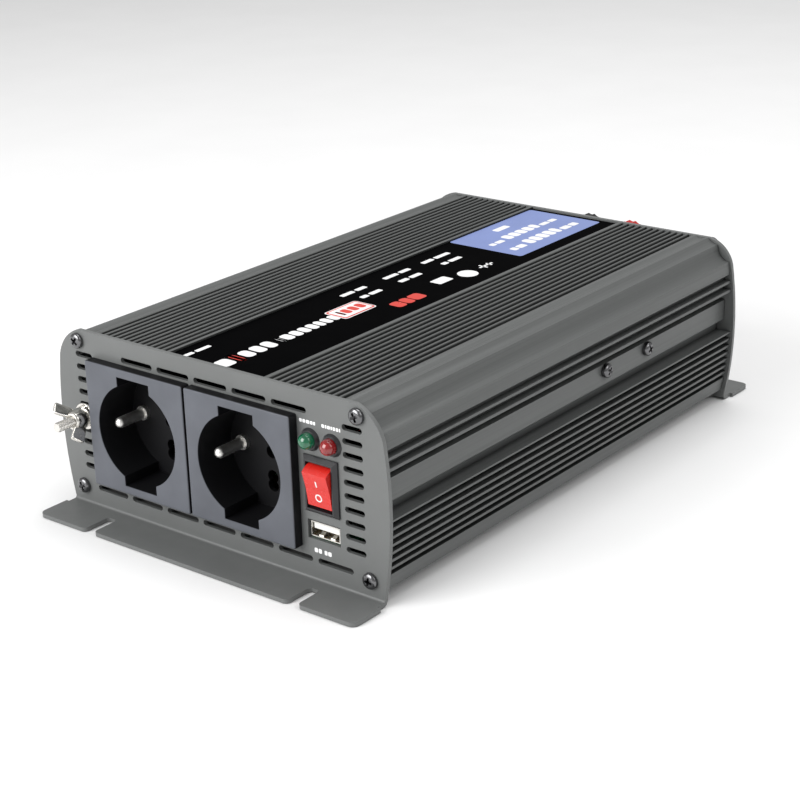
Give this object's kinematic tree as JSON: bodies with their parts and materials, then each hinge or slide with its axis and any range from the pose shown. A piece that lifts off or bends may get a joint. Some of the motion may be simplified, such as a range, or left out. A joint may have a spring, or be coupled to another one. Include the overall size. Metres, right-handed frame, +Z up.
{
  "type": "power inverter",
  "caption": "Power inverter: finned housing between folded end panels with slotted feet, mains sockets, rocker switch, USB port, earth terminal, battery terminals and fan.",
  "frame": {"origin": "on the surface the feet stand on, at the middle of the unit's length and width", "axes": "+Y from the front panel to the rear panel, +X to the right seen from the front, +Z up"},
  "size_m": [0.159, 0.27, 0.072],
  "materials": {
    "housing": "satin anodised",
    "panel": "satin paint",
    "cover": "satin paint",
    "dark_screw": "black oxide",
    "plated": "bright nickel",
    "steel": "plain",
    "label": "gloss",
    "socket_plastic": "fine texture",
    "black_plastic": "moulded",
    "red_plastic": "moulded",
    "red_knob": "moulded",
    "green_lens": "clear tinted",
    "red_lens": "clear tinted",
    "white_plastic": "moulded",
    "brass": "plain",
    "board": "lacquered",
    "ferrite": "sintered",
    "copper": "enamelled",
    "capacitor": "sleeved"
  },
  "bodies": {
    "housing": {"front_panel": "panel", "rear_panel": "panel", "heatsink_housing": "housing", "top_label": "label", "bottom_cover": "cover", "front_panel_screws": "dark_screw", "rear_panel_screws": "dark_screw", "clamp_screws_right": "dark_screw", "clamp_screws_left": "dark_screw", "light_bezels": "black_plastic", "green_light": "green_lens", "red_light": "red_lens", "switch_housing": "black_plastic", "switch_blades": "brass", "usb_shell": "plated", "usb_tongue": "white_plastic", "usb_contacts": "brass", "usb_board": "board", "earth_bolt": "plated", "red_terminal_stud": "brass", "black_terminal_stud": "brass", "red_terminal_collar": "red_knob", "black_terminal_collar": "black_plastic", "terminal_nuts": "brass", "fan_frame": "black_plastic", "fan_guard": "plated", "fan_screws": "dark_screw", "main_board": "board", "board_standoffs": "brass", "board_screws": "steel", "transformer_cores": "ferrite", "transformer_coils": "copper", "input_capacitors": "capacitor", "output_capacitors": "capacitor", "transistors_right": "black_plastic", "transistors_left": "black_plastic", "clamp_bar_right": "steel", "clamp_bar_left": "steel", "choke_core": "ferrite", "choke_winding": "copper", "blade_fuses": "red_plastic", "red_bus_bar": "copper", "black_bus_bar": "copper", "socket_left_faceplate": "socket_plastic", "socket_left_contacts": "brass", "socket_left_earth_pin": "plated", "socket_right_faceplate": "socket_plastic", "socket_right_contacts": "brass", "socket_right_earth_pin": "plated"},
    "rocker": {"switch_rocker": "red_plastic"},
    "wing_nut": {"earth_wing_nut": "plated"},
    "earth_washers": {"earth_flat_washer": "plated", "earth_spring_washer": "plated"},
    "red_knob": {"red_terminal_knob": "red_knob"},
    "red_washer": {"red_terminal_washer": "brass"},
    "black_knob": {"black_terminal_knob": "black_plastic"},
    "black_washer": {"black_terminal_washer": "brass"},
    "fan_rotor": {"fan_rotor": "black_plastic"}
  },
  "joints": [
    {"name": "switch_tilt", "type": "hinge", "parent": "housing", "child": "rocker", "pos_m": [0.0504, -0.1154, 0.0383], "axis": [1, 0, 0], "range_deg": [-24, 0]},
    {"name": "earth_washer_float", "type": "slide", "parent": "housing", "child": "earth_washers", "axis": [0, -1, 0], "range_m": [0, 0.0021]},
    {"name": "wing_nut_spin", "type": "hinge", "parent": "earth_washers", "child": "wing_nut", "pos_m": [-0.066, -0.122, 0.0378], "axis": [0, -1, 0], "range_deg": [0, 1080]},
    {"name": "red_washer_float", "type": "slide", "parent": "housing", "child": "red_washer", "axis": [0, 1, 0], "range_m": [0, 0.003]},
    {"name": "red_knob_spin", "type": "hinge", "parent": "red_washer", "child": "red_knob", "pos_m": [0.0182, 0.128, 0.0586], "axis": [0, 1, 0], "range_deg": [0, 1080]},
    {"name": "black_washer_float", "type": "slide", "parent": "housing", "child": "black_washer", "axis": [0, 1, 0], "range_m": [0, 0.003]},
    {"name": "black_knob_spin", "type": "hinge", "parent": "black_washer", "child": "black_knob", "pos_m": [-0.0032, 0.128, 0.0586], "axis": [0, 1, 0], "range_deg": [0, 1080]},
    {"name": "fan_spin", "type": "hinge", "parent": "housing", "child": "fan_rotor", "pos_m": [-0.0405, 0.108, 0.0375], "axis": [0, 1, 0], "continuous": true}
  ],
  "couplings": [
    {"joint": "wing_nut_spin", "follows": "earth_washer_float", "rad_per_m": 8975.9},
    {"joint": "red_knob_spin", "follows": "red_washer_float", "rad_per_m": 6283.1},
    {"joint": "black_knob_spin", "follows": "black_washer_float", "rad_per_m": 6283.1}
  ]
}
